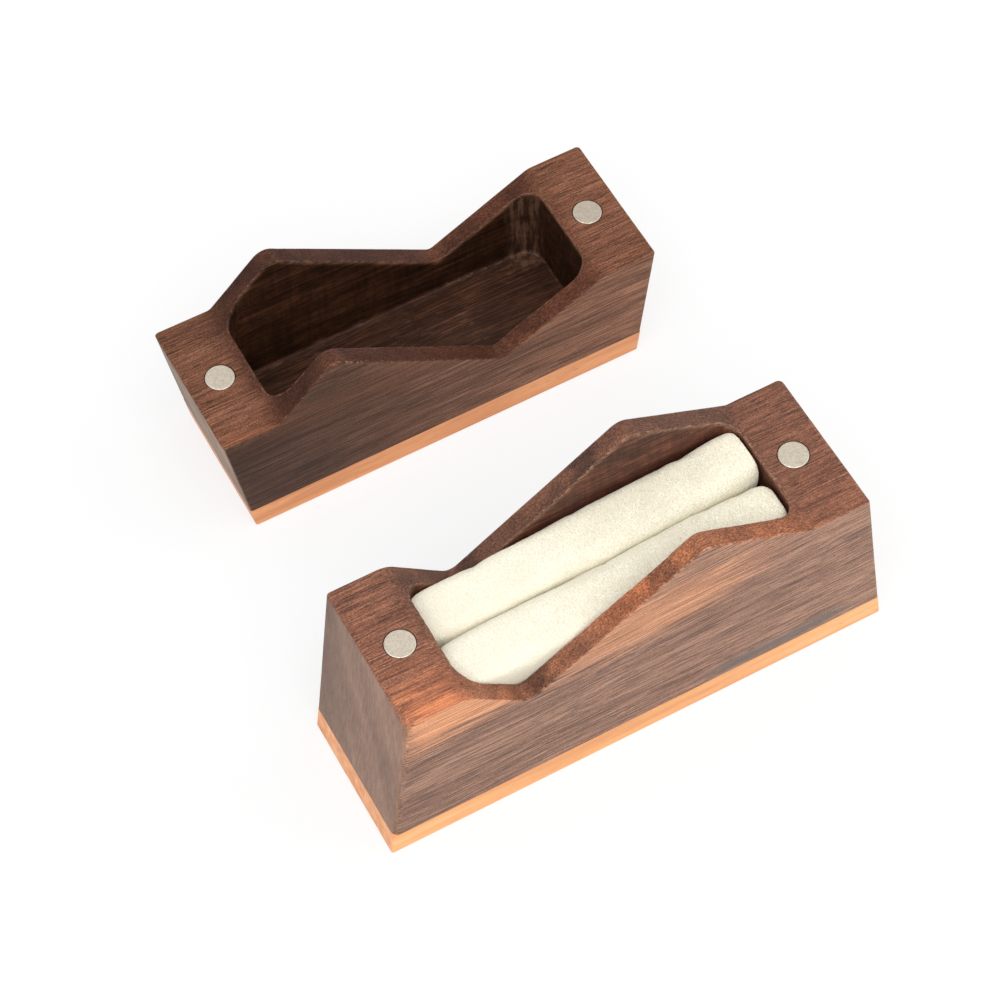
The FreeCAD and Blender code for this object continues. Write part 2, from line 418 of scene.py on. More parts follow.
@dataclass(frozen=True)
class Walnut(Finish):
    """Waxed walnut whose grain runs along X. Tints are linear shares."""

    dark: Colour
    middle: Colour
    light: Colour
    pore: Colour
    # The pale colour that use leaves, also given to the painted highlights on the edges.
    worn_and_lit: Colour
    sap: Sap
    left_shade: float
    right_shade: float
    back_shade: float
    # The rim, slope and end tints set each face's tone by how it is turned: partly the cut grain's own tone,
    # partly painted light, shade and reflection haze.
    rim_tint: Colour = (1.035, 0.78, 0.67, 1.0)
    slope_tint: Colour = (0.78, 0.79, 0.79, 1.0)
    end_tint: Colour = (1.06, 1.13, 1.14, 1.0)
    # The pocket tint darkens the pocket: partly the routed wood's tone, partly painted shade in the recess.
    pocket_tone_and_shade: Colour = (0.56, 0.33, 0.265, 1.0)
    glow: Colour = (1.5, 1.31, 1.03, 1.0)
    right_corner_shade: float = 0.2
    left_corner_lift: float = 0.14
    scuffs: float = 0.0
    bare_x: float = 0.0
    bare_y: float = 0.0
    bare_radius: float = 1.0
    floor: float = 0.0
    worn_from: float = -40.0
    gloss: float = 0.3
    pore_share: float = 0.52
    stain: Stain | None = None
    burns: tuple[float, ...] = ()
    half_length: float = 34.0
    front: float = -10.6
    back: float = 10.6

    def _bent(self, place: Value) -> Value:
        """Bends the place by the slow waves of the tree's rings.

        Args:
            place: The place on the object.

        Returns:
            The bent place.
        """
        wave = place.along(0.4).sway(0.06, (0.0, 2.5, 2.5))
        ripple = place.along(0.3).sway(0.35, (0.0, 0.3, 0.3))
        return place.moved(wave).moved(ripple)

    def _tone(self, at: WoodFace, grain: Value, sap: Value) -> Value:
        """Draws the figure: rings, streaks, fibres and a fine fuzz, with rays and clouds on the ends.

        Args:
            at: What the finish reads from the mesh.
            grain: The place, bent with the grain.
            sap: How much of the orange streak shows.

        Returns:
            The figure, from dark at 0 to light at 1.
        """
        rings = grain.along(0.05).noise(0.28).around(0.34)
        streaks = grain.along(0.03).noise(1.5).around(0.18)
        fibres = grain.along(0.022).noise(5.4, 0.5).around(0.62)
        fuzz = at.place.noise(9.0, 1.0, 0.6).around(0.42)
        rays = at.place.upright(0.12).noise(2.2, 3.0, 0.6).around(0.3)
        clouds = at.place.mapped(turn=(0.55, 0.0, 0.0)).upright(0.3).noise(0.2, 1.0).around(0.34)
        calm = (1 - at.end * 0.82) * (1 - sap * 0.4) * (1 - at.rim * 0.3)
        return (rings + streaks + fibres + fuzz) * calm + MIDDLE + (rays + clouds) * at.end

    def _pores(self, at: WoodFace, grain: Value) -> Value:
        """Draws the open pores: long hairlines and short dashes along the grain, thicker in some rings.

        Args:
            at: What the finish reads from the mesh.
            grain: The place, bent with the grain.

        Returns:
            How much of a pore shows.
        """
        rings = grain.along(0.06).noise(0.6, 1.5) - MIDDLE
        lines = grain.along(0.032).noise(5.6, 0.5) + rings * 0.28
        dashes = grain.along(0.09).noise(6.5, 0.5) + rings * 0.2
        pores = lines.spread(0.575, 0.65).at_least(dashes.spread(0.66, 0.71))
        return pores * (1 - (at.end * 0.8 + at.rim * 0.1))

    def _sap_streak(self, at: WoodFace) -> Value:
        """Draws the orange streak.

        Args:
            at: What the finish reads from the mesh.

        Returns:
            How much of the orange streak shows.
        """
        sap = self.sap
        rise = at.z - (at.x * sap.rise + sap.height)
        far = (rise**2 + (at.y - self.front) ** 2) ** 0.5
        edge = far + at.place.along(0.1).noise(0.5, 3.0, 0.6).around(sap.reach * 2.2)
        streak = edge.spread(sap.reach * 1.4, sap.reach * 0.3, 0.0, sap.strength)
        left = at.x.spread(-26.0, -12.0, 1.0, 0.62) * at.x.spread(-33.5, -29.5, 0.3, 1.0)
        right = at.x.spread(6.0, 22.0, 1.0, 0.06)
        return streak * left * right * (1 - at.slope * 0.65) * (1 - at.end * 0.9)

    def _shade(self, at: WoodFace) -> Value:
        """Draws the slow change of tone, from end to end below the rim and towards the back: partly the
        wood's own tone and partly painted shade.

        Args:
            at: What the finish reads from the mesh.

        Returns:
            The tone that the colour is multiplied by.
        """
        along = at.x.spread(-self.half_length, self.half_length, self.left_shade, self.right_shade)
        # Inside the pocket the change along X is turned over: a painted shade that darkens the pocket's right
        # part.
        even = (at.rim * 0.85 - at.slope * 0.25).at_least(at.end).at_least(at.pocket * 1.18)
        right = at.rim * at.x.spread(8.0, 24.0, 0.0, self.right_corner_shade)
        left = at.rim * at.x.spread(-27.0, -22.0, self.left_corner_lift, 0.0)
        across = at.y.spread(self.front + 2.0, self.back, 1 - right, left + self.back_shade)
        return (along + (1 - along) * even) * across

    def _stained(self, at: WoodFace, colour: Value, stain: Stain) -> Value:
        """Stains the front.

        Args:
            at: What the finish reads from the mesh.
            colour: The colour so far.
            stain: The stain.

        Returns:
            The stained colour.
        """
        x, _, z = at.place.moved(at.place.along(0.2).sway(0.4, (0.0, 0.0, 2.0))).parts()
        share = abs(z - stain.z).spread(0.2, stain.half_height, stain.strength, 0.0)
        share *= abs(x - stain.x).spread(stain.half_length / 2, stain.half_length, 1.0, 0.0)
        share *= at.y.spread(self.front + 1.0, self.front + 4.0, 1.0, 0.0)
        return colour.mixed(stain.tint, share)

    def _cut(self, at: WoodFace, colour: Value, sap: Value) -> Value:
        """Mottles the rim, which cuts through the grain, and burns and warms it where it slopes.

        Args:
            at: What the finish reads from the mesh.
            colour: The colour so far.
            sap: How much of the orange streak shows.

        Returns:
            The mottled colour.
        """
        speckle = at.place.along(0.5).noise(9.0, 1.0, 0.6).spread(0.34, 0.66, 0.66, 1.3)
        dashes = at.place.along(0.08).noise(5.6, 0.5).spread(0.635, 0.685, 1.0, 0.48)
        colour = colour.tinted(speckle * dashes, (at.rim - at.slope * 0.6) * (1 - sap * 0.8))
        torn = at.place.noise(8.0, 1.0, 0.7).spread(0.34, 0.66, 0.76, 1.2)
        patches = at.place.along(0.6).noise(0.22).spread(0.4, 0.62, 0.8, 1.2)
        colour = colour.tinted(torn * patches, at.slope)
        x, y, _ = at.place.moved(at.place.sway(0.5, (4.0, 0.0, 0.0))).parts()
        for middle in self.burns:
            burn = abs(x - middle).spread(0.6, 2.8) + (torn - 0.97) * 1.2
            colour = colour.tinted(burn.spread(0.0, 1.0, 0.52, 1.0), at.rim)
        warm = x.spread(-7.0, 0.0) * y.spread(self.front + 1.0, self.front + 6.0, 1.0, 0.0)
        return colour.tinted(self.glow, at.slope * warm)

    def _routed(self, at: WoodFace, colour: Value) -> Value:
        """Draws the pocket's streaks and smudges, and the tool's upright marks on its walls.

        Args:
            at: What the finish reads from the mesh.
            colour: The colour so far.

        Returns:
            The marked colour.
        """
        streaks = at.place.along(0.08).noise(1.1, 4.0, 0.7).spread(0.38, 0.62, 0.72, 1.2)
        smudges = at.place.along(0.7).noise(0.3, 3.0, 0.6).spread(0.36, 0.64, 0.78, 1.24)
        ticks = at.place.upright(0.1).noise(1.8, 3.0, 0.6).spread(0.36, 0.64, 0.82, 1.18)
        walls = at.z.spread(self.floor, self.floor + 0.6)
        return colour.tinted(streaks * smudges * (1 + (ticks - 1) * walls), at.pocket)

    def _scuffed(self, at: WoodFace, colour: Value) -> Value:
        """Draws fine pale scuffs on the pocket's floor and one bare spot on its wall.

        Args:
            at: What the finish reads from the mesh.
            colour: The colour so far.

        Returns:
            The scuffed colour.
        """
        lines = at.place.mapped((0.3, 1.6, 0.3), (0.0, 0.0, 0.5)).noise(1.2, 4.0, 0.7).spread(0.5, 0.7)
        patches = at.place.noise(0.16, 2.0, 0.6).spread(0.44, 0.62, 0.0, self.scuffs)
        low = at.z.spread(self.floor, self.floor + 0.6, 1.0, 0.0)
        off = (at.x - self.bare_x) ** 2 + (at.y - self.bare_y) ** 2
        wisps = at.place.upright(0.15).noise(1.3, 3.0, 0.6).spread(0.4, 0.62, 0.1, 0.75)
        bare = off.spread(0.5, self.bare_radius**2, 1.0, 0.0) * wisps * (self.scuffs * 1.6)
        return colour.mixed(self.worn_and_lit, (lines * patches * low).at_least(bare) * at.pocket)

    def surface(self, graph: Graph, place: Value) -> Inputs:
        """Draws the wood from its figure outwards.

        Args:
            graph: The material's empty graph.
            place: The place on the object in millimetres.

        Returns:
            The inputs of the surface shader.
        """
        at = WoodFace(graph, place)
        grain = self._bent(place)
        sap = self._sap_streak(at)
        colour = self._tone(at, grain, sap).ramp(((0.36, self.dark), (0.5, self.middle), (0.64, self.light)))
        pores = self._pores(at, grain) * (self.pore_share - sap * (self.pore_share * 0.8))
        colour = colour.tinted(self.sap.tint, sap).mixed(self.pore, pores)
        if self.stain:
            colour = self._stained(at, colour, self.stain)
        colour = self._routed(at, self._cut(at, colour.tinted(self._shade(at)), sap))
        # Tones by how each face is turned: partly the wood's own, partly painted light and shade.
        colour = colour.tinted(self.rim_tint, at.rim).tinted(self.slope_tint, at.slope)
        colour = colour.tinted(self.end_tint, at.end).tinted(self.pocket_tone_and_shade, at.pocket)
        ragged = place.along(0.6).noise(1.6, 4.0, 0.9).spread(0.48, 0.62)
        ragged *= at.x.spread(self.worn_from - 6.0, self.worn_from + 6.0, 0.4, 1.0)
        fuzz = place.noise(7.0, 2.0, 0.6)
        return {
            "Base Color": self._scuffed(at, colour).mixed(self.worn_and_lit, at.wear_and_highlight * ragged),
            "Roughness": fuzz.spread(0.3, 0.7, 0.44, 0.58),
            "Specular IOR Level": self.gloss,
            "Normal": (fuzz * 0.35 - pores * 0.6).bump(0.07),
            "IOR": 1.5,
        }


@dataclass(frozen=True)
class Cherry(Finish):
    """Waxed cherry with a fine, quiet grain along X and fine rays on its leaning ends."""

    dark: Colour
    middle: Colour
    light: Colour
    gum: Colour
    half_length: float
    end_slope: float
    end_tint: Colour = (0.98, 0.9, 0.96, 1.0)

    def surface(self, graph: Graph, place: Value) -> Inputs:
        """Draws the wood.

        Args:
            graph: Not used here.
            place: The place on the object in millimetres.

        Returns:
            The inputs of the surface shader.
        """
        fibres = place.along(0.05).noise(5.0, 4.0, 0.6)
        tone = place.along(0.06).noise(0.5, 3.0) * 0.6 + fibres * 0.4
        flecks = place.along(0.25).noise(2.2, 2.0, 0.6).spread(0.66, 0.74)
        colour = tone.ramp(((0.36, self.dark), (0.5, self.middle), (0.64, self.light)))
        x, _, z = place.parts()
        end = (abs(x) - z * self.end_slope).spread(self.half_length - 0.14, self.half_length - 0.03)
        leaning = place.mapped(turn=(0.25, 0.0, 0.0)).upright(0.2)
        rays = leaning.noise(2.4, 3.0, 0.6).spread(0.36, 0.64, 0.9, 1.09)
        return {
            "Base Color": colour.mixed(self.gum, flecks * 0.5).tinted(rays.tinted(self.end_tint), end),
            "Roughness": fibres.spread(0.3, 0.7, 0.4, 0.52),
            "Normal": fibres.bump(0.02),
            "IOR": 1.5,
        }


@dataclass(frozen=True)
class Nickel(Finish):
    """Dull nickel plating, finely scratched by use."""

    plate: Colour
    tarnish: Colour

    def surface(self, graph: Graph, place: Value) -> Inputs:
        """Draws the plating.

        Args:
            graph: Not used here.
            place: The place on the object in millimetres.

        Returns:
            The inputs of the surface shader.
        """
        cloud = place.noise(2.0, 2.0, 0.6)
        specks = place.noise(7.0, 1.0, 0.7).spread(0.5, 0.68)
        colour = cloud.spread(0.35, 0.75, 0.0, 0.35).between(self.plate, self.tarnish)
        scratches = place.along(0.12).noise(9.0, 2.0, 0.7)
        return {
            "Base Color": colour.mixed(self.tarnish, specks * 0.6),
            "Metallic": 1.0,
            "Roughness": scratches.spread(0.3, 0.7, 0.42, 0.58),
            "Normal": (scratches + cloud).bump(0.012),
        }


@dataclass(frozen=True)
class Velvet(Finish):
    """Cream velvet with a short upright nap."""

    cream: Colour
    shadow: Colour
    pale: Colour

    def surface(self, graph: Graph, place: Value) -> Inputs:
        """Draws the nap, with painted shade between its tufts and lower down towards the crease, and painted
        light towards the left end.

        Args:
            graph: Not used here.
            place: The place on the object in millimetres.

        Returns:
            The inputs of the surface shader.
        """
        tufts = place.mapped((1.0, 0.35, 1.0), (0.0, 0.0, 0.9)).noise(5.6, 3.0, 0.7)
        nap = tufts * 0.4 + place.noise(8.5, 1.0, 0.7) * 0.6
        x, _, z = place.parts()
        colour = nap.ramp(((0.39, self.shadow), (0.51, self.cream), (0.61, self.pale)))
        colour = colour.mixed(self.shadow, place.noise(0.28).spread(0.3, 0.7, 0.0, 0.25))
        # Painted shade: darker lower down the roll, towards the crease between the two rolls.
        colour = colour.mixed(self.shadow, z.spread(27.4, 24.0, 0.0, 0.7))
        return {
            # Painted light: paler towards the left end.
            "Base Color": colour.mixed(self.pale, x.spread(-22.0, 8.0, 0.3, 0.0)),
            "Roughness": 0.95,
            "Specular IOR Level": 0.1,
            "Sheen Weight": 0.55,
            "Sheen Roughness": 0.45,
            "Sheen Tint": self.pale,
            "Normal": nap.bump(0.14),
        }


@dataclass(frozen=True)
class Foam(Finish):
    """Open-cell cushion foam."""

    skin: Colour
    cell: Colour

    def surface(self, graph: Graph, place: Value) -> Inputs:
        """Draws the cells.

        Args:
            graph: The material's empty graph.
            place: The place on the object in millimetres.

        Returns:
            The inputs of the surface shader.
        """
        cells = graph.add("TexVoronoi", {"Vector": place, "Scale": 2.4}, "Distance")
        return {
            "Base Color": cells.spread(0.15, 0.5).between(self.cell, self.skin),
            "Roughness": 0.9,
            "Normal": cells.bump(0.2),
        }


@contextmanager
def shaping(mesh: bpy.types.Mesh) -> Iterator[bmesh.types.BMesh]:
    """Opens a mesh to be shaped, and writes it back afterwards.

    Args:
        mesh: The mesh.

    Yields:
        The open mesh.
    """
    work = bmesh.new()
    work.from_mesh(mesh)
    yield work
    work.to_mesh(mesh)
    work.free()


def link(name: str, data: bpy.types.ID) -> bpy.types.Object:
    """Puts an object in the scene.

    Args:
        name: The object's name.
        data: Its mesh, light or camera.

    Returns:
        The new object.
    """
    piece = bpy.data.objects.new(name, data)
    bpy.context.scene.collection.objects.link(piece)
    return piece


def smooth(piece: bpy.types.Object, sharp_over: float = 40.0) -> None:
    """Shades a piece smooth.

    Args:
        piece: The piece.
        sharp_over: Where its faces turn by more than these degrees, its edges stay sharp.
    """
    piece.data.polygons.foreach_set("use_smooth", [True] * len(piece.data.polygons))
    piece.data.set_sharp_from_angle(angle=math.radians(sharp_over))
    piece.data.update()


def dress(piece: bpy.types.Object, finish: bpy.types.Material) -> None:
    """Gives the whole piece one finish and reports it.

    Args:
        piece: The piece.
        finish: Its finish.
    """
    piece.data.materials.clear()
    piece.data.materials.append(finish)
    piece.data.polygons.foreach_set("material_index", [0] * len(piece.data.polygons))
    LOG.info("%s: %d faces", piece.name, len(piece.data.polygons))


def declare(piece: bpy.types.Object, body: Body, node: str) -> None:
    """Attaches a new piece to its body and hides the node that it stands in for.

    Args:
        piece: The piece.
        body: The body that carries it.
        node: The node that it stands in for.
    """
    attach(piece, body.value)
    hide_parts(node)


def apply_modifiers(piece: bpy.types.Object) -> None:
    """Replaces the piece's mesh by what its modifiers make of it.

    Args:
        piece: The piece.
    """
    graph = bpy.context.evaluated_depsgraph_get()
    made = piece.evaluated_get(graph)
    made = bpy.data.meshes.new_from_object(made, preserve_all_data_layers=True, depsgraph=graph)
    piece.modifiers.clear()
    piece.data = made


def read(piece: bpy.types.Object, field_name: str) -> np.ndarray:
    """Reads a field of three numbers from the piece's vertices.

    Args:
        piece: The piece.
        field_name: The field, such as co or normal.

    Returns:
        One row for each vertex.
    """
    flat = np.zeros(len(piece.data.vertices) * 3, np.float32)
    piece.data.vertices.foreach_get(field_name, flat)
    return flat.reshape(-1, 3).astype(float)


def places(piece: bpy.types.Object) -> np.ndarray:
    """Returns the places of the piece's vertices in millimetres."""
    return read(piece, "co") / MM


def move(piece: bpy.types.Object, points: np.ndarray) -> None:
    """Moves the piece's vertices to places in millimetres."""
    piece.data.vertices.foreach_set("co", (points * MM).astype(np.float32).ravel())
    piece.data.update()


def hold(mesh: bpy.types.Mesh, mark: Mark, values: np.ndarray) -> None:
    """Writes a mark's values on the mesh."""
    layer = mesh.attributes.new(mark.value, "FLOAT", "POINT")
    layer.data.foreach_set("value", values.astype(np.float32))


def squeezed(values: np.ndarray, limit: float, softness: float) -> np.ndarray:
    """Presses values into plus or minus a limit, gently over a last stretch.

    Args:
        values: The values.
        limit: The furthest that they may reach.
        softness: How long the last stretch is.

    Returns:
        The pressed values.
    """
    size = np.abs(values)
    start = limit - softness
    over = np.maximum(size - start, 0.0)
    pressed = np.where(size > start, start + softness * np.tanh(over / softness), size)
    return np.sign(values) * pressed


@dataclass(frozen=True)
class Corner:
    """One corner of the parting line: its place and the radius that rounds it, in millimetres."""

    x: float
    z: float
    radius: float = 0.0


class PartingLine:
    """The line where the two halves meet, seen from the front."""

    def __init__(self, corners: Sequence[Corner]) -> None:
        """Draws the line with its rounded corners.

        Args:
            corners: The corners from left to right. The first and the last stay sharp.
        """
        points = [(corners[0].x, corners[0].z)]
        for left, corner, right in zip(corners, corners[1:], corners[2:]):
            points += self._rounded(left, corner, right)
        points.append((corners[-1].x, corners[-1].z))
        self.stations, self.heights = np.array(points).T

    @staticmethod
    def _rounded(left: Corner, corner: Corner, right: Corner, steps: int = 12) -> list[tuple[float, float]]:
        """Rounds one corner.

        Args:
            left: The corner before it.
            corner: The corner.
            right: The corner after it.
            steps: How many points the arc has.

        Returns:
            The arc's points.
        """
        middle = np.array([corner.x, corner.z])
        back = np.array([left.x, left.z]) - middle
        ahead = np.array([right.x, right.z]) - middle
        back = back / np.linalg.norm(back)
        ahead = ahead / np.linalg.norm(ahead)
        half = math.acos(np.clip(back @ ahead, -1.0, 1.0)) / 2
        bisector = (back + ahead) / np.linalg.norm(back + ahead)
        centre = middle + bisector * corner.radius / math.sin(half)
        reach = corner.radius / math.tan(half)
        start = middle + back * reach - centre
        end = middle + ahead * reach - centre
        points = []
        for share in np.linspace(0.0, 1.0, steps):
            arm = start * (1 - share) + end * share
            points.append(tuple(centre + arm / np.linalg.norm(arm) * corner.radius))
        return points

    def height(self, x: np.ndarray) -> np.ndarray:
        """Returns the line's height at some places along X."""
        return np.interp(x, self.stations, self.heights)

    def steepness(self, x: np.ndarray) -> np.ndarray:
        """Tells how steep the line is around some places.

        Args:
            x: The places along X.

        Returns:
            From 0 where the line is level to 1, for each place.
        """
        reach, step, level, steep = 1.5, 0.05, 0.16, 0.42
        total = np.zeros(len(x))
        shifts = np.linspace(-reach, reach, 7)
        for shift in shifts:
            rise = (self.height(x + shift + step) - self.height(x + shift - step)) / (2 * step)
            total += np.clip((np.abs(rise) / np.hypot(1.0, rise) - level) / (steep - level), 0, 1)
        return total / len(shifts)


@dataclass(frozen=True)
class Room:
    """A routed pocket seen from above: a rectangle with rounded corners, in millimetres."""

    half_length: float = 23.39
    half_width: float = 8.0
    corner: float = 3.0

    def holds(self, points: np.ndarray, slack: float) -> np.ndarray:
        """Tells which points are in the pocket's rectangle, or at most a slack outside it."""
        return (np.abs(points[:, :2]) < np.array([self.half_length, self.half_width]) + slack).all(axis=1)

    def pressed(self, points: np.ndarray, gap: float, softness: float) -> np.ndarray:
        """Presses points into the room, gently where they come near its walls.

        Args:
            points: Points in millimetres, one row each.
            gap: How far from the walls they stay.
            softness: How near to the walls they begin to give way.

        Returns:
            The pressed points.
        """
        made = points.copy()
        made[:, 0] = squeezed(points[:, 0], self.half_length - gap, softness)
        made[:, 1] = squeezed(points[:, 1], self.half_width - gap, softness)
        over_x = np.maximum(np.abs(made[:, 0]) - (self.half_length - self.corner), 0.0)
        over_y = np.maximum(np.abs(made[:, 1]) - (self.half_width - self.corner), 0.0)
        reach = np.hypot(over_x, over_y)
        share = squeezed(reach, self.corner - gap, softness) / np.maximum(reach, 1e-9)
        share = np.where((over_x > 0) & (over_y > 0), share, 1.0)
        made[:, 0] -= np.sign(made[:, 0]) * over_x * (1 - share)
        made[:, 1] -= np.sign(made[:, 1]) * over_y * (1 - share)
        return made


@dataclass(frozen=True)
class Uprights:
    """How far each upright edge of a block is rounded, in millimetres."""

    front_left: float = 0.5
    front_right: float = 0.5
    back_left: float = 0.5
    back_right: float = 0.5


@dataclass
class Outline:
    """Matched points round a block: its outer edge and the edge of its pocket, in millimetres."""

    half_length: float
    half_width: float
    uprights: Uprights
    pocket: Room
    spacing: float = 0.3
    corner_steps: int = 8

    def _steps(self, start: float, end: float) -> list[float]:
        """Returns even steps from a start up to but not including the end."""
        count = max(2, round((end - start) / self.spacing))
        return list(np.linspace(start, end, count + 1)[:-1])

    def _quarter(self, upright: float) -> tuple[np.ndarray, np.ndarray]:
        """Draws the front right quarter, from the middle of the front to the middle of the right end.

        Args:
            upright: How far the block's upright edge is rounded.

        Returns:
            The outer points and the pocket's points.
        """
        pocket = self.pocket
        straight = pocket.half_length - pocket.corner
        side = pocket.half_width - pocket.corner
        front_end = self.half_length - upright
        side_start = self.half_width - upright
        outer = [(x, -self.half_width) for x in self._steps(0.0, straight)]
        inner = [(x, -pocket.half_width) for x, _ in outer]
        corner = [(x, -self.half_width) for x in self._steps(straight, front_end)]
        for turn in np.linspace(-math.pi / 2, 0.0, self.corner_steps + 1)[:-1]:
            corner.append((front_end + upright * math.cos(turn), -side_start + upright * math.sin(turn)))
        corner += [(self.half_length, -y) for y in self._steps(side, side_start)[::-1]]
        walked = np.concatenate([[0.0], np.cumsum([math.dist(a, b) for a, b in zip(corner, corner[1:])])])
        for turn in (walked / walked[-1] - 1) * math.pi / 2:
            inner.append((straight + pocket.corner * math.cos(turn), -side + pocket.corner * math.sin(turn)))
        last = [(self.half_length, -y) for y in self._steps(0.0, side)[::-1]]
        inner += [(pocket.half_length, y) for _, y in last]
        return np.array(outer + corner + last), np.array(inner)

    def loops(self) -> tuple[Loop, Loop]:
        """Draws the four quarters.

        Returns:
            The whole outer loop and the whole pocket loop, matched point by point.
        """
        quarters = (
            (self.uprights.front_right, 1, 1),
            (self.uprights.back_right, 1, -1),
            (self.uprights.back_left, -1, -1),
            (self.uprights.front_left, -1, 1),
        )
        outer, inner = [], []
        for upright, flip_x, flip_y in quarters:
            for loop, part in zip((outer, inner), self._quarter(upright)):
                turned = part * (flip_x, flip_y)
                loop.append((turned if flip_x == flip_y else turned[::-1])[:-1])
        return np.concatenate(outer), np.concatenate(inner)


class LoopMesh:
    """A closed mesh made of matched loops, each joined to the next."""

    def __init__(self) -> None:
        """Starts with no loop."""
        self.loops: list[Loop] = []
        self.wear_and_highlight: list[np.ndarray] = []

    def add(self, flat: np.ndarray, height: float | np.ndarray, wear_and_highlight: float | np.ndarray = 0.0) -> None:
        """Adds a loop.

        Args:
            flat: The X and Y of its points in millimetres.
            height: Their Z.
            wear_and_highlight: How pale they are from use and from painted highlights on the edges, from 0 to
                1.
        """
        self.loops.append(np.column_stack([flat, np.broadcast_to(height, len(flat))]))
        self.wear_and_highlight.append(np.broadcast_to(wear_and_highlight, len(flat)))

    def build(self, name: str) -> bpy.types.Object:
        """Joins the loops. The first and the last loop each lie on their spine.

        Args:
            name: The piece's name.

        Returns:
            The mesh object, in metres.
        """
        count = len(self.loops[0])
        faces = []
        for low in range(0, (len(self.loops) - 1) * count, count):
            for index in range(count):
                after = (index + 1) % count
                faces.append((low + index, low + after, low + count + after, low + count + index))
        mesh = bpy.data.meshes.new(name)
        mesh.from_pydata((np.concatenate(self.loops) * MM).tolist(), [], faces)
        hold(mesh, Mark.WEAR_AND_HIGHLIGHT, np.concatenate(self.wear_and_highlight))
        with shaping(mesh) as work:
            bmesh.ops.remove_doubles(work, verts=work.verts, dist=1e-7)
            bmesh.ops.dissolve_degenerate(work, edges=work.edges, dist=1e-8)
            bmesh.ops.recalc_face_normals(work, faces=work.faces)
        piece = link(name, mesh)
        smooth(piece)
        return piece


@dataclass(frozen=True)
class EdgeHighlight:
    """A painted highlight along a stretch of the front edge: where it runs along X and how strongly it shows.
    """

    start: float
    end: float
    wear_and_highlight: float


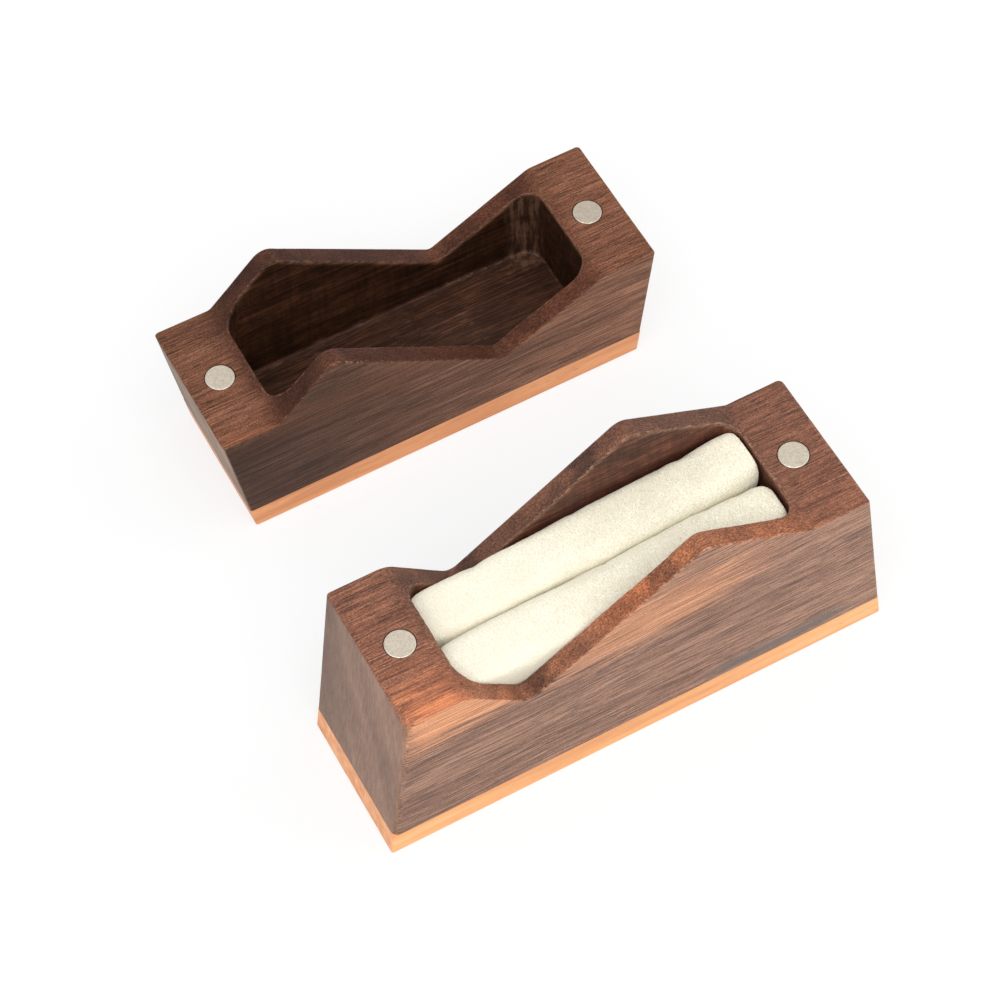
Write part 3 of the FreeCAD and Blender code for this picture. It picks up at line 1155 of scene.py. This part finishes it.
@dataclass
class WalnutBlock:
    """One routed walnut half. Sizes are in millimetres, and the block stands on its glued face."""

    name: str
    body: Body
    finish: Walnut
    seed: int
    turns: Sequence[Corner]
    half_length: float
    end_slope: float
    foot: float
    shelf: float
    pocket_depth: float
    setback: float = 0.0
    half_width: float = 10.6
    pocket: Room = field(default_factory=Room)
    edge: float = 0.24
    uprights: Uprights = field(default_factory=Uprights)
    sanded_corner: float = 0.0
    sanded_reach: float = 3.0
    lip: float = 0.18
    lip_wear: float = 0.4
    fillet: float = 0.4
    # A pale line along the pocket's fillet: partly settled dirt, partly a painted highlight.
    fillet_dust_and_highlight: float = 0.0
    chips_at: float = -14.0
    chips_reach: float = 2.2
    edge_highlight: EdgeHighlight | None = None
    spine_half: float = 22.0
    bore_radius: float = 2.09
    bore_offset: float = 27.49
    bore_depth: float = 2.0
    pass_height: float = 7.0
    pass_step: float = 0.05
    chatter: float = 0.015
    chatter_pitch_x: float = 1.1
    chatter_pitch_y: float = 1.3
    # How the pocket's painted shade fades in below the lip, and how much of it the upward-facing floor is
    # spared, as painted light.
    pocket_fade: float = 0.7
    floor_light: float = 0.2
    wall_rows: int = 36
    rim_rows: int = 9
    pocket_rows: int = 30
    floor_rows: int = 7

    def _half_length(self, height: float | np.ndarray) -> float | np.ndarray:
        """Returns half the block's length at some heights."""
        return self.half_length + self.end_slope * height

    def _line(self) -> PartingLine:
        """Returns the parting line, from one end of the shelves to the other."""
        shelf_half = self._half_length(self.shelf)
        return PartingLine([Corner(-shelf_half, self.shelf), *self.turns, Corner(shelf_half, self.shelf)])

    def _rows(self, line: PartingLine) -> LoopMesh:
        """Lays the loops from the glued face up the walls, over the rim and down into the pocket.

        Args:
            line: The parting line.

        Returns:
            The loops.
        """
        rim_half = self._half_length(self.shelf)
        outer, inner = Outline(rim_half, self.half_width, self.uprights, self.pocket).loops()
        top = line.height(outer[:, 0])
        walk = np.column_stack([outer, top])
        grain = Grain(self.seed)
        soft = 1 + 0.2 * grain.at(walk, (3.0, 3.0, 3.0))
        away = np.hypot(outer[:, 0] + rim_half, outer[:, 1] + self.half_width)
        edge = self.edge * soft + self.sanded_corner * np.exp(-((away / self.sanded_reach) ** 2))
        nicks = np.clip(grain.at(walk + 90, (0.6, 0.6, 0.6)) - 0.3, 0, None)
        lip = self.lip * (2 - soft) * (1 + 0.8 * nicks)
        rows = LoopMesh()
        self._wall(rows, outer, top, edge)
        self._rim(rows, line, (outer, inner), edge, lip)
        self._pocket(rows, inner, line.height(inner[:, 0]) - lip)
        return rows

    def _wall(self, rows: LoopMesh, outer: Loop, top: np.ndarray, edge: np.ndarray) -> None:
        """Adds the glued face and the outer walls.

        Args:
            rows: The loops so far.
            outer: The outer loop.
            top: The parting line's height there.
            edge: How far the upper edge is rounded there.
        """
        share = outer[:, 0] / self._half_length(top)
        base = np.column_stack([share * self._half_length(self.foot), outer[:, 1]])
        spine = np.column_stack([np.clip(outer[:, 0], -self.spine_half, self.spine_half), outer[:, 1] * 0])
        for inset in (1.0, 0.6, 0.25):
            rows.add(base * (1 - inset) + spine * inset, self.foot)
        for step in np.linspace(0.0, 1.0, self.wall_rows):
            height = self.foot + step * (top - edge - self.foot)
            flat = np.column_stack([share * self._half_length(height), outer[:, 1]])
            rows.add(flat, height, 0.3 * step**20)

    def _rim(
        self, rows: LoopMesh, line: PartingLine, loops: tuple[Loop, Loop], edge: np.ndarray, lip: np.ndarray
    ) -> None:
        """Adds the rim, from its outer rounded edge to the pocket's lip.

        Args:
            rows: The loops so far.
            line: The parting line.
            loops: The outer loop and the pocket's loop.
            edge: How far the outer edge is rounded.
            lip: How far the pocket's lip is rounded.
        """
        outer, inner = loops
        length = np.linalg.norm(inner - outer, axis=1)
        across = (inner - outer) / length[:, None]
        # Edge paleness from chips and use, with painted highlights along the edge.
        worn_and_lit = 0.25 + 0.75 * np.exp(-(((outer[:, 0] - self.chips_at) / self.chips_reach) ** 2))
        # Painted highlight along a stretch of the front edge.
        if self.edge_highlight:
            front = (outer[:, 0] > self.edge_highlight.start) & (outer[:, 0] < self.edge_highlight.end) & (outer[:, 1] < 0)
            worn_and_lit = np.where(front, np.maximum(worn_and_lit, self.edge_highlight.wear_and_highlight), worn_and_lit)
        laid = []
        for turn in np.radians((22.5, 45.0, 67.5, 90.0)):
            laid.append((edge * (1 - math.cos(turn)), edge * (1 - math.sin(turn)), worn_and_lit))
        for step in np.linspace(0.0, 1.0, self.rim_rows + 2)[1:-1]:
            graded = 0.5 - 0.5 * math.cos(math.pi * step)
            laid.append((edge + (length - lip - edge) * graded, 0.0, 0.0))
        for turn in np.radians((90.0, 67.5, 45.0, 22.5, 0.0)):
            laid.append((length - lip * (1 - math.cos(turn)), lip * (1 - math.sin(turn)), self.lip_wear))
        for inward, drop, wear_and_highlight in laid:
            flat = outer + across * inward[:, None]
            rows.add(flat, line.height(flat[:, 0]) - drop, wear_and_highlight)

    def _pocket(self, rows: LoopMesh, inner: Loop, top: np.ndarray) -> None:
        """Adds the pocket's wall, the fillet at its foot, and its floor, with a pale line along the fillet's
        right part, partly settled dirt and partly a painted highlight.

        Args:
            rows: The loops so far.
            inner: The pocket's loop.
            top: Where its wall begins.
        """
        floor = self.shelf - self.pocket_depth
        for step in np.linspace(0.0, 1.0, self.pocket_rows)[1:]:
            rows.add(inner, top + step * (floor + self.fillet - top))
        reach = self.pocket.half_length - self.pocket.half_width
        spine = np.column_stack([np.clip(inner[:, 0], -reach, reach), inner[:, 1] * 0])
        length = np.linalg.norm(spine - inner, axis=1)
        inward = (spine - inner) / length[:, None]
        for turn in np.radians((30.0, 60.0, 90.0)):
            flat = inner + inward * self.fillet * (1 - math.cos(turn))
            # Pale line along the fillet's right part: partly settled dirt, partly a painted highlight.
            dust_and_highlight = self.fillet_dust_and_highlight * math.sin(2 * turn) * np.clip((inner[:, 0] - 4) / 8, 0, 1)
            rows.add(flat, floor + self.fillet * (1 - math.sin(turn)), dust_and_highlight)
        start = self.fillet / length
        for step in np.linspace(0.0, 1.0, self.floor_rows)[1:]:
            rows.add(inner + (spine - inner) * (start + (1 - start) * step)[:, None], floor)

    def _weather(self, piece: bpy.types.Object) -> None:
        """Gives the sanded faces and the routed walls their slight unevenness.

        Args:
            piece: The block.
        """
        points, normals = places(piece), read(piece, "normal")
        x, y, z = points.T
        grain = Grain(self.seed + 1)
        sanded = 0.02 * grain.at(points, (9.0, 4.0, 4.0)) + 0.008 * grain.at(points, (1.6, 0.7, 0.7))
        above_floor = z > self.shelf - self.pocket_depth + 1.0
        passes = self.pass_step * np.sign(np.sin(z * 2 * math.pi / self.pass_height)) * above_floor
        ripple = np.sin(x * 2 * math.pi / self.chatter_pitch_x)
        ripple *= self.chatter * np.cos(y * 2 * math.pi / self.chatter_pitch_y)
        routed = passes + ripple + 0.02 * grain.at(points, (1.2, 1.2, 6.0))
        inside = self.pocket.holds(points, 0.05) & (normals[:, 2] < 0.5)
        offset = np.where(inside, routed, np.minimum(sanded, 0.0))
        offset[z < self.foot + 0.05] = 0.0
        move(piece, points + normals * offset[:, None])

    def _mark(self, piece: bpy.types.Object, line: PartingLine) -> None:
        """Marks the cut rim, its slopes, the end faces and the inside of the pocket, whose mark carries the
        pocket's painted shade.

        Args:
            piece: The block.
            line: The parting line.
        """
        points, normals = places(piece), read(piece, "normal")
        x, _, z = points.T
        inside = self.pocket.holds(points, 0.08)
        depth = line.height(x) - self.lip - z
        # The pocket's mark darkens it through the pocket tint: partly the routed wood's tone, partly painted
        # shade that fades in below the lip.
        pocket = np.where(inside, np.clip(depth / self.pocket_fade, 0, 1), 0.0)
        # Painted light: the floor, which faces up, takes less of the pocket's darkening than the walls.
        pocket *= 1 - self.floor_light * np.clip(normals[:, 2], 0, 1)
        rim = np.clip((normals[:, 2] - 0.3) / 0.3, 0, 1) * (1 - pocket)
        end = np.clip((np.abs(normals[:, 0]) - 0.5) / 0.3, 0, 1) * ~inside * (1 - rim)
        hold(piece.data, Mark.RIM, rim)
        hold(piece.data, Mark.SLOPE, line.steepness(x) * rim)
        hold(piece.data, Mark.END, end)
        hold(piece.data, Mark.POCKET, pocket)

    def _bore(self, piece: bpy.types.Object) -> None:
        """Sinks the two bores for the magnets into the end shelves.

        Args:
            piece: The block.
        """
        mesh = bpy.data.meshes.new(f"{self.name}_cutters")
        radius = self.bore_radius * MM
        with shaping(mesh) as work:
            for side in (-1, 1):
                bmesh.ops.create_cone(
                    work,
                    cap_ends=True,
                    segments=96,
                    radius1=radius,
                    radius2=radius,
                    depth=2 * self.bore_depth * MM,
                    matrix=Matrix.Translation(Vector((side * self.bore_offset, 0.0, self.shelf)) * MM),
                )
        cutter = link(mesh.name, mesh)
        carve = piece.modifiers.new("bores", "BOOLEAN")
        carve.operation = "DIFFERENCE"
        carve.solver = "EXACT"
        carve.object = cutter
        apply_modifiers(piece)
        bpy.data.objects.remove(cutter)

    def build(self) -> None:
        """Builds and dresses the block."""
        line = self._line()
        piece = self._rows(line).build(f"{self.name}_wood")
        self._weather(piece)
        self._bore(piece)
        self._mark(piece, line)
        piece.data.transform(Matrix.Translation(Vector((0.0, self.setback * MM, 0.0))))
        smooth(piece)
        dress(piece, self.finish.material())
        declare(piece, self.body, self.name)


@dataclass(frozen=True)
class Roll:
    """The room of one of the cushion's two rolls, in millimetres."""

    low_x: float
    high_x: float
    near: float
    far: float
    left_crest: float
    right_crest: float
    rise: float = 1.4
    crease_round: float = 2.9
    wall_round: float = 1.5
    left_tip: float = 0.9
    right_tip: float = 0.9
    end_press: float = 1.5
    side_press: float = 0.35
    softness: float = 0.5
    shrink: float = 0.4
    half_height: float = 6.4
    floor: float = 13.6
    pocket: Room = field(default_factory=Room)

    def bar(self, name: str, scale: float, voxel: float) -> bpy.types.Object:
        """Makes the roll's slightly smaller starting form, a bar with rounded edges.

        Args:
            name: The piece's name.
            scale: How many times larger it is made than the roll.
            voxel: The size of its faces before that, in millimetres.

        Returns:
            The piece, round the origin.
        """
        half_length, half_width = (self.high_x - self.low_x) / 2, (self.far - self.near) / 2
        half = Vector((half_length - self.shrink, half_width - self.shrink, self.half_height))
        crease = -math.copysign(1.0, self.near + self.far)
        mesh = bpy.data.meshes.new(name)
        with shaping(mesh) as work:
            bmesh.ops.create_cube(work, size=2.0)
            bmesh.ops.scale(work, vec=half, verts=work.verts)
            for side, radius in ((crease, self.crease_round), (-crease, self.wall_round)):
                edges = [edge for edge in work.edges if edge.calc_length() > half.x]
                edges = [edge for edge in edges if edge.verts[0].co.y * side > 0]
                bmesh.ops.bevel(work, geom=edges, offset=radius, segments=6, profile=0.5, affect="EDGES")
            for side, tip in ((-1, self.left_tip), (1, self.right_tip)):
                end = half.x - 0.01
                edges = [edge for edge in work.edges if min(vert.co.x * side for vert in edge.verts) > end]
                bmesh.ops.bevel(work, geom=edges, offset=tip, segments=4, profile=0.5, affect="EDGES")
            bmesh.ops.scale(work, vec=Vector((MM, MM, MM)) * scale, verts=work.verts)
        piece = link(name, mesh)
        remesh = piece.modifiers.new("even", "REMESH")
        remesh.mode = "VOXEL"
        remesh.voxel_size = voxel * MM * scale
        apply_modifiers(piece)
        return piece

    def seat(self, piece: bpy.types.Object, skin: float) -> None:
        """Puts a bar in its half of the pocket, pressed flat against the walls and the floor.

        Args:
            piece: The bar, of any size.
            skin: How far inside the roll's own surface it stays, in millimetres.
        """
        points = places(piece)
        low, high = points.min(0), points.max(0)
        points = (points - (low + high) / 2) / ((high - low) / 2)
        room_x, room_y = (self.high_x - self.low_x) / 2 - skin, (self.far - self.near) / 2 - skin
        points[:, 0] = squeezed(points[:, 0] * (room_x + self.end_press), room_x, self.softness)
        points[:, 1] = squeezed(points[:, 1] * (room_y + self.side_press), room_y, self.softness)
        along = np.clip(points[:, 0] / (2 * room_x) + 0.5, 0, 1) ** self.rise
        crest = self.left_crest + (self.right_crest - self.left_crest) * along - skin - self.floor
        height = squeezed(points[:, 2] * 1.22, 1.0, 0.3)
        points[:, 2] = np.maximum((height + 1) / 2 * crest, 0.0)
        points += ((self.low_x + self.high_x) / 2, (self.near + self.far) / 2, self.floor)
        move(piece, self.pocket.pressed(points, skin + 0.04, self.softness))


@dataclass
class Pad:
    """A soft piece of one roll. Lengths are in millimetres."""

    name: str
    node: str
    roll: Roll
    finish: bpy.types.Material
    seed: int

    def finish_pad(self, piece: bpy.types.Object, slot: Slot) -> None:
        """Args:
            piece: The piece.
            slot: Not used.
        """
        smooth(piece, 80.0)
        dress(piece, self.finish)
        declare(piece, Body.BASE, self.node)


@dataclass
class VelvetRoll(Pad):
    """The velvet of one roll, swollen by its filling and held by the pocket."""

    velvet: float = 0.6
    scale: float = 10.0
    voxel: float = 0.55
    limit: float = 0.9
    pressure: float = 4.0
    steps: int = 20

    def _swell(self, piece: bpy.types.Object) -> None:
        """Lets the filling swell the velvet, and limits how far it moves.

        Args:
            piece: The velvet, which is larger than life.
        """
        start = places(piece)
        cloth = piece.modifiers.new("swell", "CLOTH")
        cloth.settings.use_pressure = True
        cloth.settings.uniform_pressure_force = self.pressure
        cloth.settings.effector_weights.gravity = 0.0
        cloth.point_cache.frame_start = 1
        cloth.point_cache.frame_end = self.steps
        for step in range(1, self.steps + 1):
            bpy.context.scene.frame_set(step)
        apply_modifiers(piece)
        bpy.context.scene.frame_set(1)
        moved = places(piece) - start
        reach = np.linalg.norm(moved, axis=1)
        limit = self.limit * self.scale
        LOG.info("%s swelled by up to %.2f mm", self.name, reach.max() / self.scale)
        moved *= (limit * np.tanh(reach / limit) / np.maximum(reach, 1e-6))[:, None]
        move(piece, start + moved)

    def _open_below(self, piece: bpy.types.Object) -> None:
        """Cuts the velvet open at its foot, where it is glued down.

        Args:
            piece: The velvet.
        """
        foot = (self.roll.floor + 0.3) * MM
        with shaping(piece.data) as work:
            gone = [face for face in work.faces if max(vertex.co.z for vertex in face.verts) < foot]
            bmesh.ops.delete(work, geom=gone, context="FACES")
            bmesh.ops.recalc_face_normals(work, faces=work.faces)

    def _raise_nap(self, piece: bpy.types.Object) -> None:
        """Roughens the velvet with its tufts, and gives it its thickness.

        Args:
            piece: The velvet.
        """
        detail = piece.modifiers.new("detail", "SUBSURF")
        detail.levels = 1
        detail.render_levels = 1
        apply_modifiers(piece)
        points = places(piece)
        grain = Grain(self.seed)
        slow = 0.12 * grain.at(points, (6.0, 3.0, 3.0))
        tufts = 0.012 * grain.at(points, (0.8, 0.5, 0.5)) + 0.022 * grain.at(points + 7, (0.3, 0.3, 0.3))
        points += read(piece, "normal") * (slow + tufts)[:, None]
        points = self.roll.pocket.pressed(points, 0.0, 0.1)
        points[:, 2] = np.maximum(points[:, 2], self.roll.floor + 0.02)
        move(piece, points)
        shell = piece.modifiers.new("velvet", "SOLIDIFY")
        shell.thickness = self.velvet * MM
        shell.offset = -1.0
        apply_modifiers(piece)

    def build(self) -> None:
        """Builds and dresses the velvet."""
        piece = self.roll.bar(self.name, self.scale, self.voxel)
        self._swell(piece)
        self.roll.seat(piece, 0.0)
        self._open_below(piece)
        self._raise_nap(piece)
        self.finish_pad(piece, Slot.VELVET)


@dataclass
class FoamCore(Pad):
    """The foam inside one roll."""

    skin: float = 0.9
    voxel: float = 0.6

    def build(self) -> None:
        """Builds and dresses the foam."""
        piece = self.roll.bar(self.name, 1.0, self.voxel)
        self.roll.seat(piece, self.skin)
        points = places(piece)
        cells = 0.5 + 0.5 * Grain(self.seed).at(points, (0.9, 0.9, 0.9))
        points[:, 1] += (points[:, 1].mean() - points[:, 1]) * 0.02 * cells
        move(piece, points)
        self.finish_pad(piece, Slot.FOAM)


@dataclass
class BaseHalf:
    """The base: walnut block, cherry sole, two magnets and the cushion of two rolls."""

    walnut: Walnut
    cherry: bpy.types.Material
    nickel: bpy.types.Material
    velvet: bpy.types.Material
    foam: bpy.types.Material
    half_length: float = 36.0
    end_slope: float = -0.132
    foot: float = 4.2
    shelf: float = 29.6
    shoulder: float = 23.99
    pocket_depth: float = 16.0
    valley: Corner = Corner(-15.6, 21.6, 1.6)
    peak: Corner = Corner(8.5, 37.5, 2.0)
    left_shoulder_round: float = 3.5
    right_shoulder_round: float = 1.0

    def _block(self) -> WalnutBlock:
        """Sets out the walnut block.

        Returns:
            The block, not built yet.
        """
        left = Corner(-self.shoulder, self.shelf, self.left_shoulder_round)
        right = Corner(self.shoulder, self.shelf, self.right_shoulder_round)
        return WalnutBlock(
            name="base_block",
            body=Body.BASE,
            finish=self.walnut,
            seed=11,
            turns=(left, self.valley, self.peak, right),
            half_length=self.half_length,
            end_slope=self.end_slope,
            foot=self.foot,
            shelf=self.shelf,
            pocket_depth=self.pocket_depth,
            uprights=Uprights(front_left=1.0, front_right=0.4, back_left=0.4, back_right=0.7),
            sanded_corner=1.0,
            sanded_reach=3.4,
            edge_highlight=EdgeHighlight(-13.0, 22.0, 0.5),
        )

    def _cushion(self) -> None:
        """Builds the velvet and the foam of the two rolls."""
        front = Roll(-23.37, 23.1, -7.98, -0.02, 26.6, 29.0, right_tip=2.2, end_press=0.7)
        back = Roll(-23.2, 23.05, 0.02, 7.95, 26.0, 29.6, rise=1.15, end_press=1.3)
        for seed, (place, roll) in enumerate((("front", front), ("back", back)), start=31):
            VelvetRoll(f"velvet_roll_{place}", f"velvet_cover_{place}", roll, self.velvet, seed).build()
            FoamCore(f"foam_roll_{place}", f"foam_core_{place}", roll, self.foam, seed + 10).build()

    def build(self) -> None:
        """Builds and dresses the base."""
        self._block().build()
        self._cushion()
        for end in ("left", "right"):
            dress(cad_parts[f"base_magnet_{end}"], self.nickel)
        dress(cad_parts["base_sole"], self.cherry)


@dataclass
class LidHalf:
    """The lid, turned over behind the base: walnut block, cherry cap and two magnets."""

    walnut: Walnut
    cherry: bpy.types.Material
    nickel: bpy.types.Material
    shaded_nickel: bpy.types.Material
    half_length: float = 29.4
    end_slope: float = 0.132
    foot: float = 3.9
    shelf: float = 20.25
    shoulder: float = 23.99
    pocket_depth: float = 13.85
    setback: float = 52.2
    peak: Corner = Corner(-15.6, 28.25, 2.0)
    valley: Corner = Corner(8.5, 12.35, 1.0)
    left_shoulder_round: float = 1.0
    right_shoulder_round: float = 2.0

    def _block(self) -> WalnutBlock:
        """Sets out the walnut block.

        Returns:
            The block, not built yet.
        """
        left = Corner(-self.shoulder, self.shelf, self.left_shoulder_round)
        right = Corner(self.shoulder, self.shelf, self.right_shoulder_round)
        return WalnutBlock(
            name="lid_block",
            body=Body.LID,
            finish=self.walnut,
            seed=21,
            turns=(left, self.peak, self.valley, right),
            half_length=self.half_length,
            end_slope=self.end_slope,
            foot=self.foot,
            shelf=self.shelf,
            pocket_depth=self.pocket_depth,
            setback=self.setback,
            fillet_dust_and_highlight=0.3,
            floor_light=0.17,
        )

    def build(self) -> None:
        """Builds and dresses the lid."""
        self._block().build()
        dress(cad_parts["lid_magnet_left"], self.nickel)
        # The lid's right magnet takes the darker copy of the nickel, a painted shade.
        dress(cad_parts["lid_magnet_right"], self.shaded_nickel)
        dress(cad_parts["lid_cap"], self.cherry)


@dataclass
class Studio:
    """A white floor under a soft, even light. Lengths are in metres."""

    floor_size: float = 6.0
    floor_drop: float = 0.00002
    world_strength: float = 0.68
    floor_shade: float = 0.8
    glow_share: float = 0.72
    aim: Triple = (0.0, 0.02, 0.02)

    def _floor(self) -> None:
        """Lays the floor, whose own white fills the picture and still takes a faint shadow."""
        half = self.floor_size / 2
        mesh = bpy.data.meshes.new("studio_floor")
        corners = [(-half, -half), (half, -half), (half, half), (-half, half)]
        mesh.from_pydata([(x, y, -self.floor_drop) for x, y in corners], [], [(0, 1, 2, 3)])
        white = bpy.data.materials.new("floor_white")
        graph = Graph(white)
        shade = graph.add("BsdfDiffuse", {"Color": (*(self.floor_shade,) * 3, 1.0)})
        glow = graph.add("Emission", {"Color": WHITE, "Strength": 1.0})
        share = graph.background() * self.glow_share
        graph.close("Material", graph.add("MixShader", {0: share, 1: shade, 2: glow}))
        mesh.materials.append(white)
        link("studio_floor", mesh)

    def _world(self) -> None:
        """Surrounds the scene with an even white."""
        world = bpy.data.worlds.new("studio")
        bpy.context.scene.world = world
        graph = Graph(world)
        soft = graph.add("Background", {"Color": WHITE, "Strength": self.world_strength})
        bright = graph.add("Background", {"Color": WHITE, "Strength": 1.0})
        graph.close("World", graph.add("MixShader", {0: graph.background(), 1: soft, 2: bright}))

    def _lamp(self, name: str, place: Triple, size: float, power: float) -> None:
        """Hangs one large soft lamp that faces the box.

        Args:
            name: The lamp's name.
            place: Where it hangs, in metres.
            size: The side of its square face, in metres.
            power: Its power in watts.
        """
        light = bpy.data.lights.new(name, "AREA")
        light.shape = "SQUARE"
        light.size = size
        light.energy = power
        lamp = link(name, light)
        lamp.location = place
        lamp.rotation_mode = "QUATERNION"
        lamp.rotation_quaternion = (Vector(self.aim) - Vector(place)).to_track_quat("-Z", "Y")

    def build(self) -> None:
        """Sets up the floor, the surroundings and the lamps."""
        self._floor()
        self._world()
        self._lamp("key", (-0.2, -0.45, 0.9), 1.0, 9.5)
        self._lamp("fill", (0.8, -0.3, 0.6), 0.8, 2.5)


@dataclass
class ViewCamera:
    """The camera. Lengths are in millimetres and angles in degrees."""

    target: Triple = (0.958, 29.157, 0.0)
    distance: float = 411.65
    azimuth: float = -25.86
    elevation: float = 57.26
    roll: float = -3.08
    lens: float = 110.13
    sensor: float = 36.0
    clip_start: float = 10.0
    clip_end: float = 20000.0

    def build(self) -> None:
        """Places the camera and makes it the scene's own."""
        data = bpy.data.cameras.new("view")
        data.lens = self.lens
        data.sensor_width = self.sensor
        data.clip_start = self.clip_start * MM
        data.clip_end = self.clip_end * MM
        camera = link("view", data)
        turn, tilt = math.radians(self.azimuth), math.radians(self.elevation)
        back = Vector((math.sin(turn) * math.cos(tilt), -math.cos(turn) * math.cos(tilt), math.sin(tilt)))
        camera.rotation_mode = "QUATERNION"
        camera.location = (Vector(self.target) + back * self.distance) * MM
        level = (-back).to_track_quat("-Z", "Y").to_matrix()
        rolled = level @ Matrix.Rotation(math.radians(self.roll), 3, "Z")
        camera.rotation_quaternion = rolled.to_quaternion()
        bpy.context.scene.camera = camera


def base_walnut() -> Walnut:
    """Chooses the base's walnut, with an orange streak along the front's upper edge.

    Returns:
        The finish.
    """
    return Walnut(
        name="walnut_base",
        dark=paint(104, 73, 58),
        middle=paint(138, 101, 82),
        light=paint(167, 128, 106),
        pore=paint(64, 43, 36),
        worn_and_lit=paint(204, 156, 126),
        sap=Sap(tint=(2.35, 2.0, 1.5, 1.0), height=28.5, rise=0.07, reach=5.0, strength=1.0),
        burns=(-13.6, 3.0),
        stain=Stain(x=20.0, z=5.9, half_length=13.0, half_height=2.2),
        left_shade=1.03,
        right_shade=1.1,
        back_shade=0.64,
        worn_from=-6.0,
    )


def lid_walnut() -> Walnut:
    """Chooses the lid's darker walnut, lighter towards its right end; the darkness and its change along the
    lid are partly the wood's tone and partly painted shade.

    Returns:
        The finish.
    """
    return Walnut(
        name="walnut_lid",
        dark=paint(67, 45, 34),
        middle=paint(94, 64, 49),
        light=paint(119, 85, 67),
        pore=paint(44, 28, 22),
        worn_and_lit=paint(146, 108, 86),
        sap=Sap(tint=(1.3, 1.05, 0.85, 1.0), height=20.0, rise=0.05, reach=3.0, strength=0.4),
        left_shade=0.56,
        right_shade=2.12,
        back_shade=0.9,
        rim_tint=(1.43, 1.24, 1.13, 1.0),
        slope_tint=(0.4, 0.33, 0.31, 1.0),
        end_tint=(2.28, 3.2, 3.72, 1.0),
        pocket_tone_and_shade=(0.355, 0.275, 0.205, 1.0),
        glow=WHITE,
        right_corner_shade=0.0,
        left_corner_lift=0.0,
        scuffs=0.3,
        bare_x=21.5,
        bare_y=59.2,
        bare_radius=3.2,
        floor=6.8,
        gloss=0.13,
        pore_share=0.4,
        front=41.6,
        back=62.8,
    )


def main() -> None:
    """Builds the scene in order: camera, studio, base, lid."""
    logging.basicConfig(level=logging.INFO, format="%(name)s %(relativeCreated)6.0f ms: %(message)s")
    bpy.context.scene.view_settings.view_transform = "Standard"
    ViewCamera().build()
    Studio().build()
    honey = (paint(214, 143, 86), paint(232, 165, 103), paint(244, 185, 126), paint(198, 122, 70))
    amber = (paint(188, 118, 70), paint(217, 144, 90), paint(238, 168, 112), paint(176, 104, 58))
    sole = Cherry("cherry_base", *honey, BaseHalf.half_length, BaseHalf.end_slope)
    cap = Cherry("cherry_lid", *amber, LidHalf.half_length, LidHalf.end_slope)
    nickel = Nickel("nickel", paint(203, 193, 177), paint(158, 148, 132)).material()
    # A darker copy of the nickel: painted shade for the lid's right magnet.
    shaded_copy = Nickel("nickel_shaded", paint(191, 179, 164), paint(150, 139, 124))
    velvet = Velvet("velvet", paint(237, 231, 210), paint(208, 199, 173), paint(247, 244, 229))
    foam = Foam("foam", paint(226, 214, 182), paint(188, 172, 138))
    BaseHalf(base_walnut(), sole.material(), nickel, velvet.material(), foam.material()).build()
    LidHalf(lid_walnut(), cap.material(), nickel, shaded_copy.material()).build()


if __name__ == "__main__":
    main()
